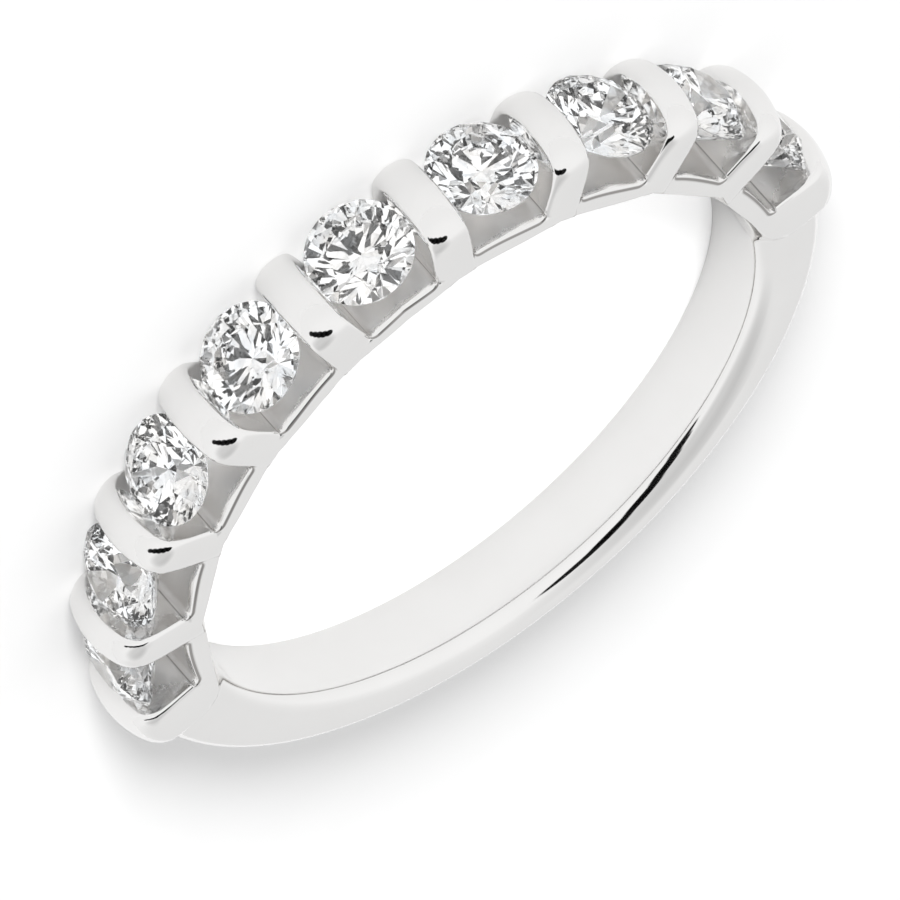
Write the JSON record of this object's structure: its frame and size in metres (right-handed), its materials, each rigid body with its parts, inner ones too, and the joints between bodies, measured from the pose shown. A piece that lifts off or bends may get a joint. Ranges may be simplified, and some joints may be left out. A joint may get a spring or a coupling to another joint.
{
  "type": "bar set band ring",
  "caption": "Polished white metal finger ring with a half round row of brilliant cut stones, each gripped between two upright bars, on a plain rounded shank.",
  "frame": {"origin": "centre of the finger hole, half way along its length", "axes": "+Z along the finger hole, the middle stone faces -Y, +X to the side of stone 1; the ring lies on its -Z edge"},
  "size_m": [0.0226, 0.0213, 0.0028],
  "materials": {
    "metal": "mirror polished white precious metal",
    "stone": "clear colourless cut gemstone"
  },
  "bodies": {
    "root": {"band": "metal", "stone_1": "stone", "stone_2": "stone", "stone_3": "stone", "stone_4": "stone", "stone_5": "stone", "stone_6": "stone", "stone_7": "stone", "stone_8": "stone", "stone_9": "stone"}
  },
  "joints": []
}
